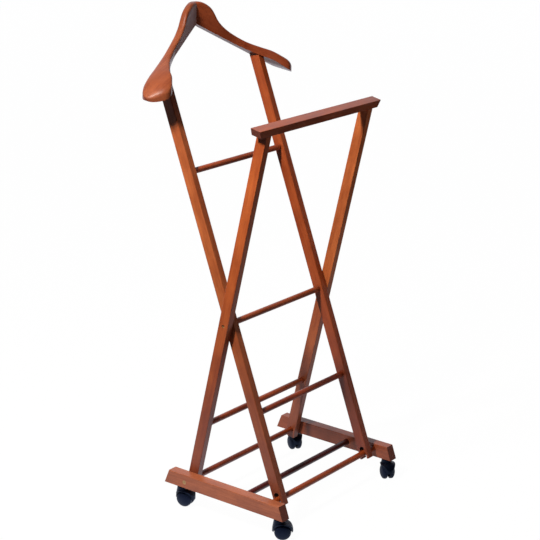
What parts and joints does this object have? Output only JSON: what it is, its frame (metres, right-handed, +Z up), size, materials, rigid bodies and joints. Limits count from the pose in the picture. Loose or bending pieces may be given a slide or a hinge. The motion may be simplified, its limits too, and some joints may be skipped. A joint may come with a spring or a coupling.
{
  "type": "folding clothes valet stand",
  "caption": "Folding wooden valet stand: crossed legs carry a contoured suit hanger, a trouser bar and shoe rungs on swivel casters",
  "frame": {"origin": "on the floor, at the centre of the ground the standing rack covers", "axes": "+Z up; -Y is the front, the side the trouser bar leans to; +X is the right-hand side seen from the front of the hanger"},
  "size_m": [0.4746, 0.447, 1.0412],
  "materials": {
    "beech": "satin lacquer",
    "dowel_wood": "raw",
    "brass": "satin",
    "steel": "brushed",
    "nylon": "semi-gloss"
  },
  "bodies": {
    "base": {"foot_rung": "beech", "hook_rung": "beech", "left_foot": "beech", "left_front_socket": "nylon", "left_rear_socket": "nylon", "right_foot": "beech", "right_front_socket": "nylon", "right_rear_socket": "nylon"},
    "trouser_frame": {"left_bar_pin": "dowel_wood", "left_foot_screw": "brass", "left_foot_washer": "nylon", "left_trouser_leg": "beech", "pivot_rung": "beech", "rear_shoe_rung": "beech", "right_bar_pin": "dowel_wood", "right_foot_screw": "brass", "right_foot_washer": "nylon", "right_trouser_leg": "beech", "trouser_bar": "beech"},
    "hanger_frame": {"front_shoe_rung": "beech", "hanger_mitre_pin": "dowel_wood", "left_crossing_screw": "brass", "left_crossing_washer": "nylon", "left_hanger_half": "beech", "left_hanger_leg": "beech", "left_hanger_pin": "dowel_wood", "middle_rung": "beech", "right_crossing_screw": "brass", "right_crossing_washer": "nylon", "right_hanger_half": "beech", "right_hanger_leg": "beech", "right_hanger_pin": "dowel_wood", "upper_rung": "beech"},
    "left_front_caster": {"left_front_stem": "steel", "left_front_hood": "nylon", "left_front_axle": "steel"},
    "left_front_near_wheel": {"left_front_near_wheel": "nylon"},
    "left_front_far_wheel": {"left_front_far_wheel": "nylon"},
    "right_front_caster": {"right_front_stem": "steel", "right_front_hood": "nylon", "right_front_axle": "steel"},
    "right_front_near_wheel": {"right_front_near_wheel": "nylon"},
    "right_front_far_wheel": {"right_front_far_wheel": "nylon"},
    "left_rear_caster": {"left_rear_stem": "steel", "left_rear_hood": "nylon", "left_rear_axle": "steel"},
    "left_rear_near_wheel": {"left_rear_near_wheel": "nylon"},
    "left_rear_far_wheel": {"left_rear_far_wheel": "nylon"},
    "right_rear_caster": {"right_rear_stem": "steel", "right_rear_hood": "nylon", "right_rear_axle": "steel"},
    "right_rear_near_wheel": {"right_rear_near_wheel": "nylon"},
    "right_rear_far_wheel": {"right_rear_far_wheel": "nylon"}
  },
  "joints": [
    {"name": "trouser_frame_fold", "type": "hinge", "parent": "base", "child": "trouser_frame", "pos_m": [0, 0.04673, 0.0582], "axis": [-1, 0, 0], "range_deg": [0, 90]},
    {"name": "hanger_frame_fold", "type": "hinge", "parent": "trouser_frame", "child": "hanger_frame", "pos_m": [0, -0.02837, 0.41989], "axis": [1, 0, 0], "range_deg": [0, 18.2]},
    {"name": "left_front_caster_swivel", "type": "hinge", "parent": "base", "child": "left_front_caster", "pos_m": [-0.203, -0.19677, 0.045], "axis": [0, 0, 1], "continuous": true},
    {"name": "left_front_near_wheel_roll", "type": "hinge", "parent": "left_front_caster", "child": "left_front_near_wheel", "pos_m": [-0.1983, -0.20324, 0.0175], "axis": [0.809, 0.5878, 0], "continuous": true},
    {"name": "left_front_far_wheel_roll", "type": "hinge", "parent": "left_front_caster", "child": "left_front_far_wheel", "pos_m": [-0.1983, -0.20324, 0.0175], "axis": [0.809, 0.5878, 0], "continuous": true},
    {"name": "right_front_caster_swivel", "type": "hinge", "parent": "base", "child": "right_front_caster", "pos_m": [0.203, -0.19677, 0.045], "axis": [0, 0, 1], "continuous": true},
    {"name": "right_front_near_wheel_roll", "type": "hinge", "parent": "right_front_caster", "child": "right_front_near_wheel", "pos_m": [0.19797, -0.20298, 0.0175], "axis": [0.7771, -0.6293, 0], "continuous": true},
    {"name": "right_front_far_wheel_roll", "type": "hinge", "parent": "right_front_caster", "child": "right_front_far_wheel", "pos_m": [0.19797, -0.20298, 0.0175], "axis": [0.7771, -0.6293, 0], "continuous": true},
    {"name": "left_rear_caster_swivel", "type": "hinge", "parent": "base", "child": "left_rear_caster", "pos_m": [-0.203, 0.06023, 0.045], "axis": [0, 0, 1], "continuous": true},
    {"name": "left_rear_near_wheel_roll", "type": "hinge", "parent": "left_rear_caster", "child": "left_rear_near_wheel", "pos_m": [-0.20147, 0.05238, 0.0175], "axis": [0.9816, 0.1908, 0], "continuous": true},
    {"name": "left_rear_far_wheel_roll", "type": "hinge", "parent": "left_rear_caster", "child": "left_rear_far_wheel", "pos_m": [-0.20147, 0.05238, 0.0175], "axis": [0.9816, 0.1908, 0], "continuous": true},
    {"name": "right_rear_caster_swivel", "type": "hinge", "parent": "base", "child": "right_rear_caster", "pos_m": [0.203, 0.06023, 0.045], "axis": [0, 0, 1], "continuous": true},
    {"name": "right_rear_near_wheel_roll", "type": "hinge", "parent": "right_rear_caster", "child": "right_rear_near_wheel", "pos_m": [0.19853, 0.0536, 0.0175], "axis": [0.829, -0.5592, 0], "continuous": true},
    {"name": "right_rear_far_wheel_roll", "type": "hinge", "parent": "right_rear_caster", "child": "right_rear_far_wheel", "pos_m": [0.19853, 0.0536, 0.0175], "axis": [0.829, -0.5592, 0], "continuous": true}
  ],
  "couplings": [
    {"joint": "hanger_frame_fold", "follows": "trouser_frame_fold", "ratio": 0.2}
  ]
}
